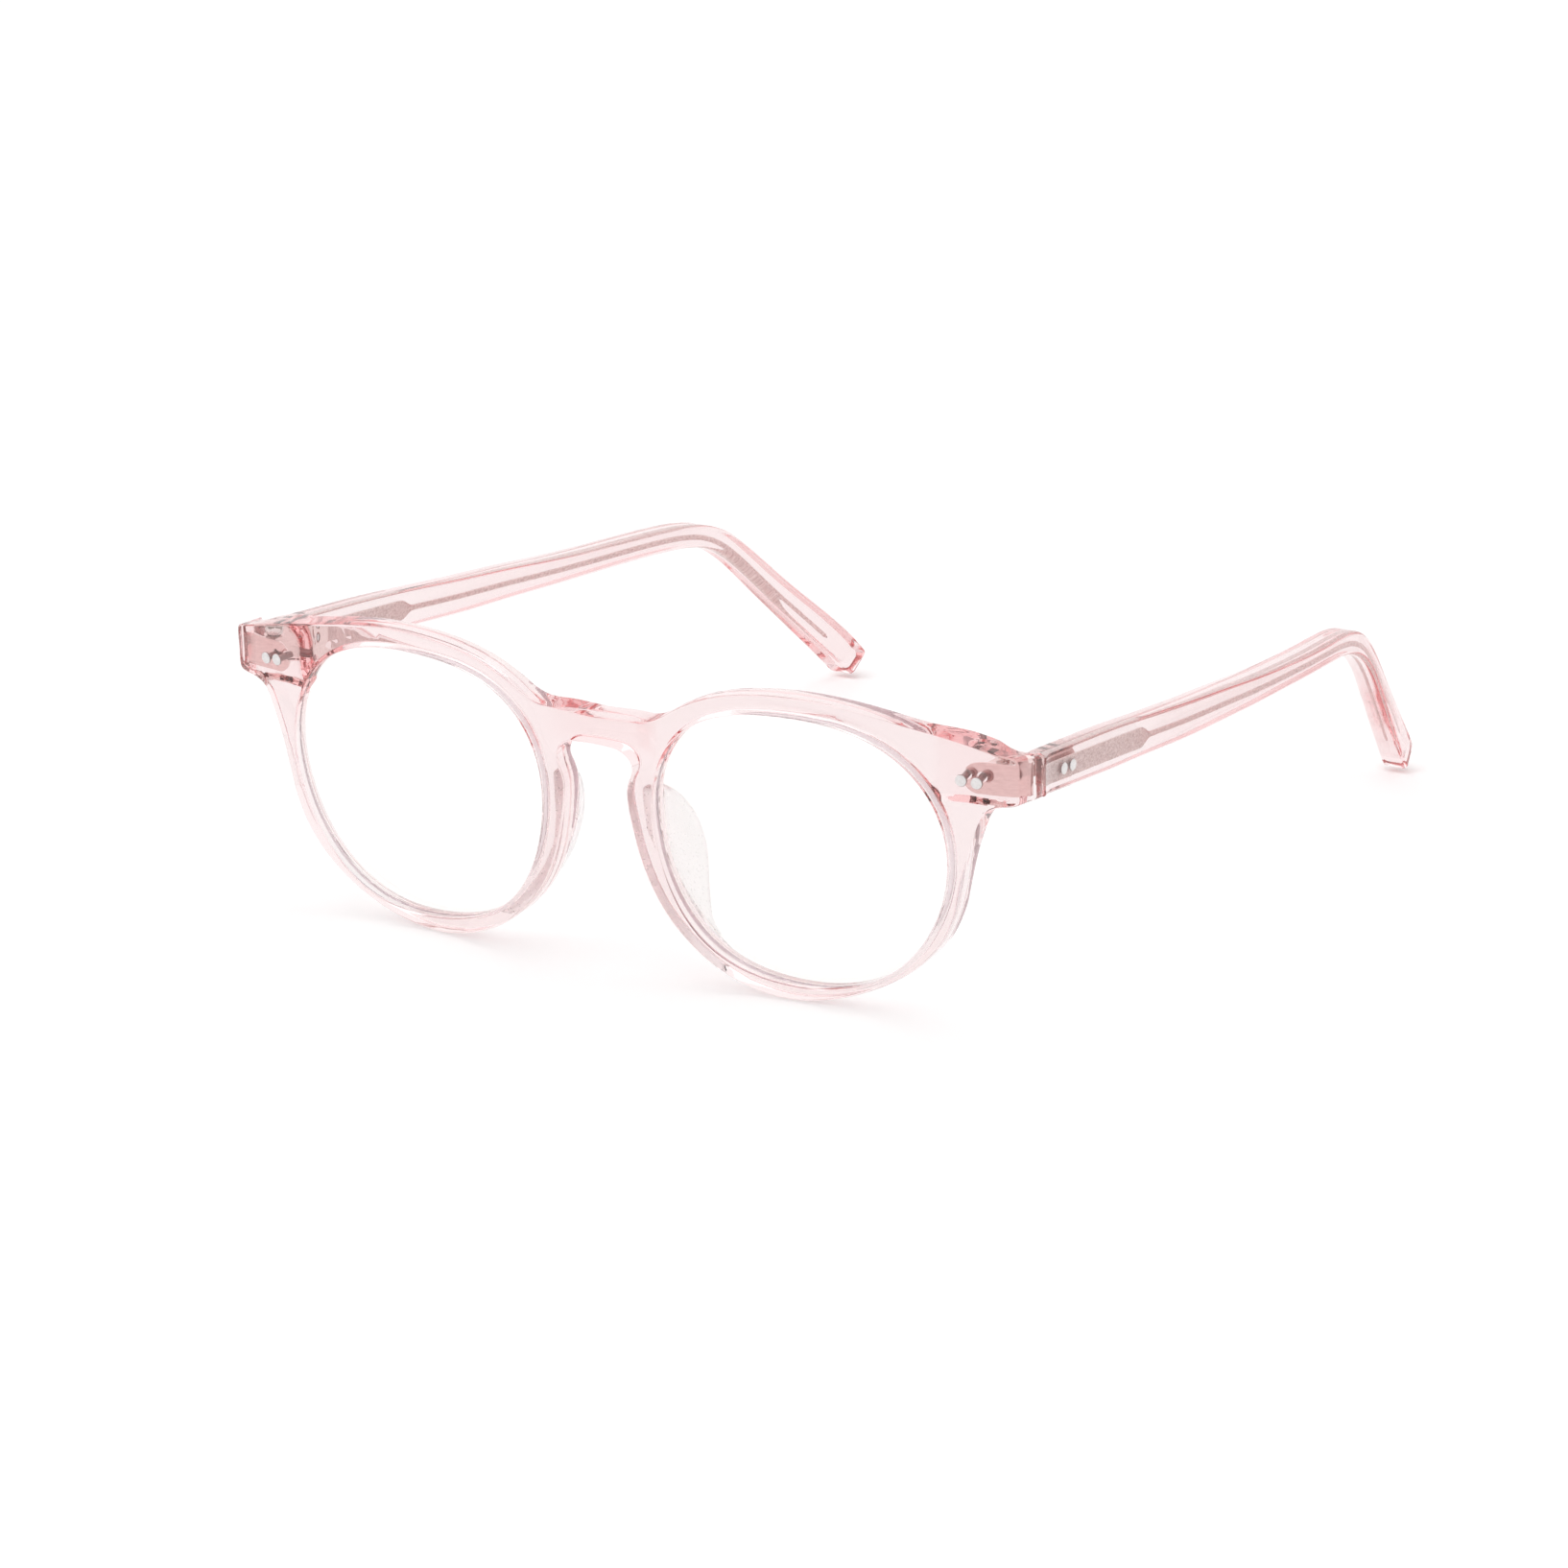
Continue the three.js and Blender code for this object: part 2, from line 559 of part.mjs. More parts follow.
function buildTemple() {
  const outline = spineOutline((p) => p.z, 0, 1, SPINE_STEPS);
  const start = BUTT_Y + GAP;
  const side = squareFront(outline, start);
  const tip = side.slice(SPINE_STEPS, SPINE_STEPS + 2);
  const rounded = [
    [tip[0][0] * 0.75 + tip[1][0] * 0.25 + 0.75, tip[0][1] * 0.75 + tip[1][1] * 0.25 - 0.7],
    [tip[0][0] * 0.25 + tip[1][0] * 0.75 + 0.75, tip[0][1] * 0.25 + tip[1][1] * 0.75 - 0.7],
  ];
  side.splice(SPINE_STEPS + 1, 0, ...rounded);
  const flare = (y) => (y < FLARE_END ? 0.6 * (FLARE_END - y) / 2.6 : 0);
  const plan = templePlan((y) => outerX(y) + flare(y), (y) => outerX(y) - readTable(THICK, y), start, 58, 19);
  const rear = templePlan((y) => outerX(y), (y) => outerX(y) - readTable(THICK, y), 58, 152, 44);
  const whole = [...plan.slice(0, 20), ...rear.slice(1, -1), ...plan.slice(20)];
  let body = solid(sidePrism(side, 40, 75)).intersect(solid(planPrism(whole, -5, 50)));
  body = body.subtract(wireSolid(GAP, 0, WIRE_END + 0.004));
  const mouth = planPrism([[64.2, 6], [65.7, 6], [65.7, 10.5], [64.2, 10.5]], 34.3, 38.6);
  body = body.subtract(solid(mouth));
  const recess = solid(planPrism(leafPlan(7, 22.7, 3, 6), 30, 42))
    .intersect(solid(sidePrism(leafSide(GAP), 50, 70)));
  body = body.subtract(recess);
  for (const [y, z] of TEMPLE_RIVETS) {
    const x = outerX(y) + 0.12;
    body = body.subtract(solid(bar(HEAD_R + GAP, [x + 1, y, z], [x - 0.62, y, z])));
    body = body.subtract(solid(bar(BORE_R, [x + 1, y, z], [x - 6, y, z])));
  }
  return geometryOf(body);
}

function buildWire() {
  let body = wireSolid(0, WIRE_START, WIRE_END);
  for (const [y, z] of TEMPLE_RIVETS) {
    body = body.subtract(solid(bar(BORE_R, [70, y, z], [50, y, z])));
  }
  return geometryOf(body);
}

function templeRivet(spot) {
  const [y, z] = spot;
  const x = outerX(y) + 0.12;
  return rivet([x, y, z], [outerX(y) - 3.3 - LEAF_T, y, z], 0.4);
}

function frontRivet(spot) {
  const line = frontRivetLine(spot);
  return rivet(line[0], line[1], 0.45);
}

// ---------------------------------------------------------------- materials

const acetate = new THREE.MeshStandardMaterial({ color: 0xf3d3d2, roughness: 0.12, metalness: 0 });
const lensClear = new THREE.MeshStandardMaterial({ color: 0xf6f3ee, roughness: 0.04, metalness: 0 });
const padFrost = new THREE.MeshStandardMaterial({ color: 0xeee6e4, roughness: 0.45, metalness: 0 });
const steel = new THREE.MeshStandardMaterial({ color: 0xc9c7c4, roughness: 0.3, metalness: 1 });
const rosySilver = new THREE.MeshStandardMaterial({ color: 0xb9a29c, roughness: 0.5, metalness: 1 });

// ---------------------------------------------------------------- assembly

const glasses = new THREE.Group();
glasses.name = 'blue_light_glasses';

function place(name, geometry, material) {
  geometry.translate(0, -DEPTH_CENTRE, 0);
  const faceted = geometry.toNonIndexed();
  faceted.computeVertexNormals();
  const mesh = new THREE.Mesh(faceted, material);
  mesh.name = name;
  glasses.add(mesh);
}

function placePair(name, geometry, material) {
  const other = mirrored(geometry);
  place(`${name}_left`, geometry, material);
  place(`${name}_right`, other, material);
}

place('front_frame', buildFront(), acetate);
placePair('lens', buildLens(), lensClear);
placePair('nose_pad', buildNosePad(), padFrost);
placePair('front_leaf', buildFrontLeaf(), steel);
placePair('front_rivet_inner', geometryOf(solid(frontRivet(FRONT_RIVETS[0]))), steel);
placePair('front_rivet_outer', geometryOf(solid(frontRivet(FRONT_RIVETS[1]))), steel);
placePair('hinge_screw', buildScrew(), steel);
placePair('temple', buildTemple(), acetate);
placePair('core_wire', buildWire(), rosySilver);
placePair('temple_leaf', buildTempleLeaf(), steel);
placePair('temple_rivet_front', geometryOf(solid(templeRivet(TEMPLE_RIVETS[0]))), steel);
placePair('temple_rivet_rear', geometryOf(solid(templeRivet(TEMPLE_RIVETS[1]))), steel);

export default glasses;
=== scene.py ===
import math

import bmesh
import bpy
import numpy as np
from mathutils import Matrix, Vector
from mathutils.geometry import delaunay_2d_cdt


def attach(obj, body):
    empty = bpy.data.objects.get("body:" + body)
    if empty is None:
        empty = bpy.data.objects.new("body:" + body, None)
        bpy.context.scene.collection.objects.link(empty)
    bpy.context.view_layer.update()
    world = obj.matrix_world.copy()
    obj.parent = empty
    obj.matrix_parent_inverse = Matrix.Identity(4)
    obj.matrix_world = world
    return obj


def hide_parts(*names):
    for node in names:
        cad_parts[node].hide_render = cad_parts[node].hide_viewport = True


# Blue light glasses in clear pale pink acetate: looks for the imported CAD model.
# Shapes are worked out in millimetres in the front's own frame, then stood up and scaled to metres.

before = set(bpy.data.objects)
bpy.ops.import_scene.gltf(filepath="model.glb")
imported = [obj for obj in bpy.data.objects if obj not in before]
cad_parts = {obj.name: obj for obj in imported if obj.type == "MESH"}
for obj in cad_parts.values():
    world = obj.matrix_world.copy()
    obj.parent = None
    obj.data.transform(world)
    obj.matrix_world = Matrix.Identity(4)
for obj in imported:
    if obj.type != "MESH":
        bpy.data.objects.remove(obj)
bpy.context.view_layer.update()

MM = 0.001

# ---------------------------------------------------------------- driving dimensions (millimetres)

DEPTH_CENTRE = 72.673            # the frame's y = 0 lies this far behind the front's own y = 0
LEAN = math.radians(5.614)       # forward lean of the front
WRAP, WRAP_END = 0.0011988, 0.29123   # how fast the front curves back, and how much faster at its ends
RIM_DEPTH = 3.9                  # thickness of the rims
SIDE_FLARE = 0.85                # the end pieces are this much wider at the butt joint
BUTT_Y = 9.4                     # depth of the butt joint, where the temples start
END_EXTRA = [(50.5, 0), (52.5, 0.15), (55, 0.8), (57, 1.3), (60, 1.7), (64.9, 2.3), (65.5, 3.5), (68, 3.5)]
BLOCK_STEP = 0.7                 # step at the inner end of the blocks, below the top edge
END_DROP = 0.09                  # fall of the end pieces for each millimetre of depth
TOP_DROP = 0.09                  # and more at their top edge
BRIDGE_EXTRA = 1.2               # added thickness behind the bridge
EDGE_R, EDGE_STEPS = 0.35, 5     # polished edge of the front: radius and facets
HOLE_EDGE_R, HOLE_STEPS = 0.3, 4     # and that of the lens openings
OUTLINE_SPACING, HOLE_SPACING = 0.42, 0.6
LENS_X, LENS_Z, LENS_R = 32.01, 22.77, 21.94   # middle and mean radius of the lens opening
LENS_COSINES = (0.10, 1.25, 0.13, -0.37, 0.08)
LENS_SINES = (-0.06, -0.15, 0.47, -0.02, 0.07)
RIM_R = 27.76                    # mean radius of the rim's lower outline about the same middle
RIM_COSINES = (-0.19, -1.30, 0.07, -0.44, -0.05)
RIM_SINES = (5.90, 0.23, -0.15, -0.13, -0.25)
SIDES = ((1, "left"), (-1, "right"))

# ---------------------------------------------------------------- small helpers


def smoothstep(value, low, high):
    t = np.clip((value - low) / (high - low), 0.0, 1.0)
    return t * t * (3.0 - 2.0 * t)


def table(points, at):
    """Smooth curve through (place, value) points, with flat-safe cubic pieces."""
    p = np.asarray(points, float)
    x, y = p[:, 0], p[:, 1]
    slope = np.gradient(y, x)
    at = np.clip(np.asarray(at, float), x[0], x[-1])
    i = np.clip(np.searchsorted(x, at) - 1, 0, len(x) - 2)
    h = x[i + 1] - x[i]
    t = (at - x[i]) / h
    a = y[i] * (2 * t**3 - 3 * t**2 + 1) + y[i + 1] * (3 * t**2 - 2 * t**3)
    return a + h * (slope[i] * (t**3 - 2 * t**2 + t) + slope[i + 1] * (t**3 - t**2))


def catmull(points, per_span):
    """Centripetal Catmull-Rom through the points, which stay on the curve."""
    p = np.asarray(points, float)
    ends = np.vstack([2 * p[0] - p[1], p, 2 * p[-1] - p[-2]])
    out = []
    for i in range(1, len(ends) - 2):
        p0, p1, p2, p3 = ends[i - 1:i + 3]
        t0 = 0.0
        t1 = t0 + np.linalg.norm(p1 - p0) ** 0.5
        t2 = t1 + np.linalg.norm(p2 - p1) ** 0.5
        t3 = t2 + np.linalg.norm(p3 - p2) ** 0.5
        for t in np.linspace(t1, t2, per_span, endpoint=False):
            a1 = (t1 - t) / (t1 - t0) * p0 + (t - t0) / (t1 - t0) * p1
            a2 = (t2 - t) / (t2 - t1) * p1 + (t - t1) / (t2 - t1) * p2
            a3 = (t3 - t) / (t3 - t2) * p2 + (t - t2) / (t3 - t2) * p3
            b1 = (t2 - t) / (t2 - t0) * a1 + (t - t0) / (t2 - t0) * a2
            b2 = (t3 - t) / (t3 - t1) * a2 + (t - t1) / (t3 - t1) * a3
            out.append((t2 - t) / (t2 - t1) * b1 + (t - t1) / (t2 - t1) * b2)
    out.append(p[-1])
    return np.array(out)


def resample(points, spacing, closed=False):
    """The same line with evenly spaced points."""
    p = np.asarray(points, float)
    if closed:
        p = np.vstack([p, p[:1]])
    run = np.concatenate([[0.0], np.cumsum(np.linalg.norm(np.diff(p, axis=0), axis=1))])
    count = max(8, int(round(run[-1] / spacing)))
    at = np.linspace(0.0, run[-1], count, endpoint=not closed)
    return np.stack([np.interp(at, run, p[:, i]) for i in range(p.shape[1])], axis=1)


def loop_normals(loop):
    """Unit normals of a closed counter-clockwise loop, pointing out of what it encloses."""
    ahead = np.roll(loop, -1, axis=0) - np.roll(loop, 1, axis=0)
    ahead /= np.linalg.norm(ahead, axis=1)[:, None]
    return np.stack([ahead[:, 1], -ahead[:, 0]], axis=1)


def stand_up(points):
    """Front's own (x, depth, height) in millimetres to the frame in metres."""
    p = np.asarray(points, float)
    y = p[:, 1] * math.cos(LEAN) - p[:, 2] * math.sin(LEAN) - DEPTH_CENTRE
    z = p[:, 1] * math.sin(LEAN) + p[:, 2] * math.cos(LEAN)
    return np.stack([p[:, 0], y, z], axis=1) * MM


def mirrored(loop, side):
    """Flat (x, height) points on the +X side, or mirrored for side = -1."""
    return loop * np.array([side, 1.0])


def close_up(mesh):
    """Join coincident points and turn every face outward."""
    work = bmesh.new()
    work.from_mesh(mesh)
    bmesh.ops.remove_doubles(work, verts=work.verts, dist=1e-7)
    bmesh.ops.recalc_face_normals(work, faces=work.faces)
    if work.calc_volume(signed=True) < 0:
        bmesh.ops.reverse_faces(work, faces=work.faces)
    work.to_mesh(mesh)
    work.free()


def make_piece(name, points, faces, materials, face_material=None, sharp=math.radians(40)):
    """Smooth-shaded piece whose edges steeper than sharp stay crisp."""
    mesh = bpy.data.meshes.new(name)
    mesh.from_pydata([tuple(p) for p in points], [], [tuple(f) for f in faces])
    close_up(mesh)
    for m in materials:
        mesh.materials.append(m)
    mesh.polygons.foreach_set("use_smooth", [True] * len(mesh.polygons))
    if face_material is not None:
        mesh.polygons.foreach_set("material_index", list(face_material))
    mesh.set_sharp_from_angle(angle=sharp)
    mesh.update()
    piece = bpy.data.objects.new(name, mesh)
    bpy.context.scene.collection.objects.link(piece)
    return piece


def flip(faces):
    return [tuple(reversed(f)) for f in faces]


def both_sides(points, faces):
    """Where a piece of the +X side stands, its points and its faces: as given, then mirrored."""
    for side, where in SIDES:
        here = points if side > 0 else np.asarray(points) * np.array([-1.0, 1.0, 1.0])
        yield where, here, faces if side > 0 else flip(faces)


def ring_faces(rings, count):
    """Quads between successive rings of count points."""
    faces = []
    for r in range(rings - 1):
        for i in range(count):
            a, b = r * count + i, r * count + (i + 1) % count
            faces.append((a, b, b + count, a + count))
    return faces


# ---------------------------------------------------------------- node materials


class Nodes:
    """Thin wrapper that makes and links shader nodes."""

    def __init__(self, name):
        self.material = bpy.data.materials.new(name)
        self.material.use_nodes = True
        self.tree = self.material.node_tree
        self.tree.nodes.clear()
        self.output = self.add("ShaderNodeOutputMaterial")

    def add(self, kind, **values):
        node = self.tree.nodes.new(kind)
        for key, value in values.items():
            setattr(node, key, value)
        return node

    def link(self, source, target):
        self.tree.links.new(source, target)

    def place(self, scale=(1, 1, 1)):
        """The piece's own coordinates, stretched."""
        coordinates = self.add("ShaderNodeTexCoord")
        mapping = self.add("ShaderNodeMapping")
        mapping.inputs["Scale"].default_value = scale
        self.link(coordinates.outputs["Object"], mapping.inputs["Vector"])
        return mapping.outputs["Vector"]

    def noise(self, scale, detail=3.0, roughness=0.5, stretch=(1, 1, 1)):
        node = self.add("ShaderNodeTexNoise")
        node.inputs["Scale"].default_value = scale
        node.inputs["Detail"].default_value = detail
        node.inputs["Roughness"].default_value = roughness
        self.link(self.place(stretch), node.inputs["Vector"])
        return node.outputs["Fac"]

    def ramp(self, source, stops):
        node = self.add("ShaderNodeValToRGB")
        ramp = node.color_ramp
        while len(ramp.elements) < len(stops):
            ramp.elements.new(0.5)
        for element, (at, colour) in zip(ramp.elements, stops):
            element.position = at
            element.color = (*colour, 1.0)
        self.link(source, node.inputs["Fac"])
        return node.outputs["Color"]

    def span(self, source, low, high):
        """Stretch the middle of a noise over low to high."""
        node = self.add("ShaderNodeMapRange")
        node.inputs["From Min"].default_value = 0.3
        node.inputs["From Max"].default_value = 0.7
        node.inputs["To Min"].default_value = low
        node.inputs["To Max"].default_value = high
        self.link(source, node.inputs["Value"])
        return node.outputs["Result"]

    def bump(self, source, strength, distance):
        node = self.add("ShaderNodeBump")
        node.inputs["Strength"].default_value = strength
        node.inputs["Distance"].default_value = distance
        self.link(source, node.inputs["Height"])
        return node.outputs["Normal"]

    def principled(self, **values):
        node = self.add("ShaderNodeBsdfPrincipled")
        for key, value in values.items():
            socket = node.inputs[key.replace("_", " ")]
            if isinstance(value, bpy.types.NodeSocket):
                self.link(value, socket)
            else:
                socket.default_value = value
        self.link(node.outputs["BSDF"], self.output.inputs["Surface"])

    def absorb(self, colour, density):
        node = self.add("ShaderNodeVolumeAbsorption")
        node.inputs["Color"].default_value = (*colour, 1.0)
        node.inputs["Density"].default_value = density
        self.link(node.outputs["Volume"], self.output.inputs["Volume"])


def acetate_material():
    n = Nodes("clear_pink_acetate")
    cloud = n.noise(90.0, 2.0)
    tint = n.ramp(cloud, [(0.35, (0.908, 0.906, 0.904)), (0.65, (0.918, 0.918, 0.917))])
    polish = n.span(n.noise(700.0, 2.0), 0.004, 0.018)
    ripple = n.bump(n.noise(70.0, 1.0), 0.05, 0.0004)
    n.principled(Base_Color=tint, Roughness=polish, IOR=1.49, Transmission_Weight=1.0, Normal=ripple)
    n.absorb((0.946, 0.39, 0.4), 56.0)
    return n.material


def lens_material():
    n = Nodes("clear_lens")
    tint = n.ramp(n.noise(30.0, 1.0), [(0.4, (1.0, 0.995, 0.985)), (0.6, (0.995, 0.99, 0.98))])
    polish = n.span(n.noise(500.0, 2.0), 0.0, 0.012)
    n.principled(Base_Color=tint, Roughness=polish, IOR=1.5, Transmission_Weight=1.0)
    return n.material


def ground_edge_material():
    n = Nodes("ground_lens_edge")
    grain = n.noise(1500.0, 2.0, 0.6)
    tint = n.ramp(grain, [(0.3, (0.82, 0.71, 0.76)), (0.7, (0.87, 0.78, 0.82))])
    rough = n.span(grain, 0.3, 0.38)
    n.principled(Base_Color=tint, Roughness=rough, IOR=1.5, Transmission_Weight=0.75,
                 Normal=n.bump(grain, 0.04, 0.00002))
    return n.material


def pad_material():
    n = Nodes("frosted_nose_pad")
    grain = n.noise(2500.0, 3.0, 0.6)
    tint = n.ramp(n.noise(140.0, 2.0), [(0.35, (0.918, 0.925, 0.925)), (0.65, (0.93, 0.938, 0.938))])
    rough = n.span(grain, 0.26, 0.34)
    n.principled(Base_Color=tint, Roughness=rough, IOR=1.45, Transmission_Weight=0.85,
                 Normal=n.bump(grain, 0.03, 0.00002))
    n.absorb((0.95, 0.3, 0.32), 24.0)
    return n.material


def steel_material():
    n = Nodes("satin_nickel_silver")
    brushed = n.noise(900.0, 3.0, 0.6, (1.0, 1.0, 6.0))
    tint = n.ramp(brushed, [(0.3, (0.62, 0.6, 0.58)), (0.7, (0.8, 0.79, 0.77))])
    rough = n.span(n.noise(1500.0, 2.0), 0.22, 0.38)
    n.principled(Base_Color=tint, Metallic=1.0, Roughness=rough, Normal=n.bump(brushed, 0.1, 0.00002))
    return n.material


def polished_material():
    n = Nodes("polished_leaf")
    brushed = n.noise(700.0, 3.0, 0.6, (1.0, 1.0, 5.0))
    tint = n.ramp(brushed, [(0.3, (0.76, 0.62, 0.6)), (0.7, (0.86, 0.73, 0.71))])
    rough = n.span(n.noise(1500.0, 2.0), 0.06, 0.14)
    n.principled(Base_Color=tint, Metallic=1.0, Roughness=rough, Normal=n.bump(brushed, 0.05, 0.00001))
    return n.material


def rivet_material(name, axis):
    """Scratched metal with painted shade: faces turning away from the axis (the shanks) are darkened, while
    the flat heads square to it keep their tone.
    """
    n = Nodes(name)
    scratch = n.noise(1800.0, 3.0, 0.6)
    scratched_tone = n.ramp(scratch, [(0.3, (0.68, 0.655, 0.65)), (0.7, (0.8, 0.775, 0.77))])
    coordinates = n.add("ShaderNodeTexCoord")
    along = n.add("ShaderNodeVectorMath")
    along.operation = "DOT_PRODUCT"
    along.inputs[1].default_value = axis
    n.link(coordinates.outputs["Normal"], along.inputs[0])
    square = n.add("ShaderNodeMath")
    square.operation = "ABSOLUTE"
    n.link(along.outputs["Value"], square.inputs[0])
    # painted shade: the shanks, whose faces turn away from the axis, are darkened to a dark brown, and the
    # heads stay bare
    painted_shank_shade = n.ramp(square.outputs["Value"], [(0.5, (0.42, 0.3, 0.29)), (0.8, (1.0, 1.0, 1.0))])
    both = n.add("ShaderNodeVectorMath")
    both.operation = "MULTIPLY"
    n.link(scratched_tone, both.inputs[0])
    n.link(painted_shank_shade, both.inputs[1])
    rough = n.span(n.noise(2600.0, 2.0), 0.25, 0.45)
    n.principled(Base_Color=both.outputs["Vector"], Metallic=0.9, Roughness=rough,
                 Normal=n.bump(scratch, 0.1, 0.00002))
    return n.material


def core_material():
    n = Nodes("grained_core_metal")
    grain = n.noise(3600.0, 4.0, 0.7, (1.0, 0.6, 1.0))
    tint = n.ramp(grain, [(0.3, (0.56, 0.47, 0.45)), (0.5, (0.78, 0.71, 0.69)), (0.7, (0.96, 0.92, 0.9))])
    rough = n.span(n.noise(3000.0, 3.0), 0.35, 0.6)
    n.principled(Base_Color=tint, Metallic=0.85, Roughness=rough, Normal=n.bump(grain, 0.5, 0.00006))
    return n.material


ACETATE = acetate_material()
LENS = lens_material()
LENS_EDGE = ground_edge_material()
PAD = pad_material()
STEEL = steel_material()
POLISHED = polished_material()
FRONT_RIVET = rivet_material("front_rivet_metal", (0.0, 1.0, 0.0))
TEMPLE_RIVET = rivet_material("temple_rivet_metal", (1.0, 0.0, 0.0))
CORE = core_material()

# ---------------------------------------------------------------- front


def face_y(x):
    """Depth of the front face, which wraps back toward the ends."""
    x = np.abs(x)
    return WRAP * x**2 * (1 + WRAP_END * (x / 60.0) ** 2)


def polar(base, cosines, sines, angle):
    """Radius at an angle: a mean and a short series about it."""
    r = np.full_like(angle, base)
    for k, (c, s) in enumerate(zip(cosines, sines), start=1):
        r = r + c * np.cos(k * angle) + s * np.sin(k * angle)
    return r


def lens_loop(spacing):
    """Lens opening on the +X side, counter-clockwise."""
    a = np.linspace(0.0, 2 * math.pi, 1440, endpoint=False)   # quarter degrees
    r = polar(LENS_R, LENS_COSINES, LENS_SINES, a)
    loop = np.stack([LENS_X + r * np.cos(a), LENS_Z + r * np.sin(a)], axis=1)
    return resample(loop, spacing, closed=True)


def outline_half():
    """Right half of the front's outline, from the top of the bridge round to its underside."""
    top = [(0, 38.35), (3.5, 38.5), (6.6, 38.7), (9, 38.95), (11.4, 39.9), (14, 41.5), (17.8, 43.35),
           (21.8, 44.6), (26.6, 45.4), (32.4, 45.75), (37.8, 45.55), (43.3, 44.85), (49.6, 43.6),
           (55.2, 42.4), (60.6, 41.1), (64.4, 40.2)]
    corner = [(65.3, 40.05), (65.85, 39.65), (66, 39), (66, 36.5), (66, 34), (65.85, 33.3), (65.3, 32.9)]
    fillet = [(64.6, 32.75), (63.4, 32.6), (62.3, 32.35), (61.2, 31.8), (60.3, 30.7), (59.5, 28.9),
              (58.85, 27.1), (58.2, 25.1), (57.65, 23.1), (57.15, 21), (56.6, 18.6), (55.95, 16)]
    a = -np.radians(np.linspace(20.0, 182.0, 30))
    r = polar(RIM_R, RIM_COSINES, RIM_SINES, a)
    lower = np.stack([LENS_X + r * np.cos(a), LENS_Z + r * np.sin(a)], axis=1)
    keyhole = [(5.35, 25.5), (5.25, 27.6), (5.6, 29.2), (6.15, 30.4), (6.35, 31.5), (5.95, 32.6),
               (5.1, 33.4), (3.9, 33.95), (2, 34.15), (0, 34.2)]
    return catmull(np.vstack([top, corner, fillet, lower[1:-1], keyhole]), 12)


def front_loop():
    """The whole outline, counter-clockwise."""
    half = outline_half()
    whole = np.vstack([half, mirrored(half, -1.0)[::-1][1:-1]])
    return resample(whole, OUTLINE_SPACING, closed=True)[::-1]


def back_depth(x, height):
    """Depth of the back face: even rims, sloping end blocks up to the butt plane, a thicker bridge."""
    side = np.abs(x)
    step = BLOCK_STEP * smoothstep(side, 52.0, 53.0) * (1 - smoothstep(side, 54.5, 59.0))
    step = step * (1 - smoothstep(height, 39.5, 42.0))
    block = (table(END_EXTRA, side) + step) * smoothstep(height, 32.0, 33.0)
    bridge = BRIDGE_EXTRA * (1 - smoothstep(side, 4.0, 11.0)) * smoothstep(height, 30.5, 34.0)
    butt = (BUTT_Y + height * math.sin(LEAN)) / math.cos(LEAN)
    rim = face_y(x) + RIM_DEPTH + block + bridge
    return 0.5 * (rim + butt - np.sqrt((rim - butt) ** 2 + 0.04))   # the lesser of the two, blended


def settle(x, height, y, part):
    """Points of the front (x, depth, height), flared and dropped at the end pieces."""
    side = np.abs(x)
    flare = SIDE_FLARE * smoothstep(side, 62.0, 66.0) * part
    drop = END_DROP * smoothstep(side, 56.0, 63.0)
    drop = drop + TOP_DROP * smoothstep(side, 61.0, 64.5) * smoothstep(height, 36.0, 40.0)
    return np.stack([x + np.sign(x) * flare, y, height - drop * (y - face_y(x))], axis=1)


def front_points(flat, from_front=None, from_back=None):
    """(x, height) points at a depth measured from the front face or from the back face."""
    x, height = flat[:, 0], flat[:, 1]
    front, back = face_y(x), back_depth(x, height)
    y = front + from_front if from_front is not None else back - from_back
    return settle(x, height, y, (y - front) / (back - front))


def cap_faces(loops, inner_points):
    """Triangles that fill the region between an outer loop and its holes."""
    boundary = np.vstack(loops)
    edges, start = [], 0
    for loop in loops:
        n = len(loop)
        edges += [(start + i, start + (i + 1) % n) for i in range(n)]
        start += n
    corners = [Vector(p) for p in np.vstack([boundary, inner_points])]
    verts, _, faces, origin, _, _ = delaunay_2d_cdt(corners, edges, [], 1, 1e-7)
    where = [o[0] if o else -1 for o in origin]
    centres = [sum((verts[i] for i in f), Vector((0, 0))) / len(f) for f in faces]
    keep = inside_region(np.array([(c.x, c.y) for c in centres]), loops)
    return [tuple(where[i] for i in f) for f, k in zip(faces, keep) if k]


def enclosed(points, loop):
    """True for the points inside a closed loop."""
    a, b = loop, np.roll(loop, -1, axis=0)
    px, py = points[:, :1], points[:, 1:]
    crosses = (a[None, :, 1] > py) != (b[None, :, 1] > py)
    slope = (b[:, 0] - a[:, 0]) / np.where(b[:, 1] == a[:, 1], 1e-12, b[:, 1] - a[:, 1])
    at = a[None, :, 0] + (py - a[None, :, 1]) * slope[None]
    return (crosses & (px < at)).sum(axis=1) % 2 == 1


def inside_region(points, loops):
    keep = enclosed(points, loops[0])
    for hole in loops[1:]:
        keep &= ~enclosed(points, hole)
    return keep


def clear_of(points, loops, room, batch=400):
    """True for the points farther than room from every point of the loops."""
    keep = np.ones(len(points), bool)
    for loop in loops:
        for start in range(0, len(points), batch):
            part = points[start:start + batch]
            gap = np.linalg.norm(part[:, None] - loop[None], axis=2).min(axis=1)
            keep[start:start + batch] &= gap > room
    return keep


# The lens groove: (cut into the rim, depth behind the face)
GROOVE = [(0.0, 1.1), (0.05, 1.15), (0.58, 1.65), (0.66, 1.75),
          (0.66, 2.25), (0.58, 2.35), (0.05, 2.85), (0.0, 2.9)]
CAP_SPACING = 1.1                # of the points inside the front's two faces


def edge_profile(radius, steps):
    """Quarter round: (inset, depth) pairs from the face to the wall."""
    a = np.linspace(0.0, math.pi / 2, steps + 1)
    return [(radius * (1 - math.sin(t)), radius * (1 - math.cos(t))) for t in a]


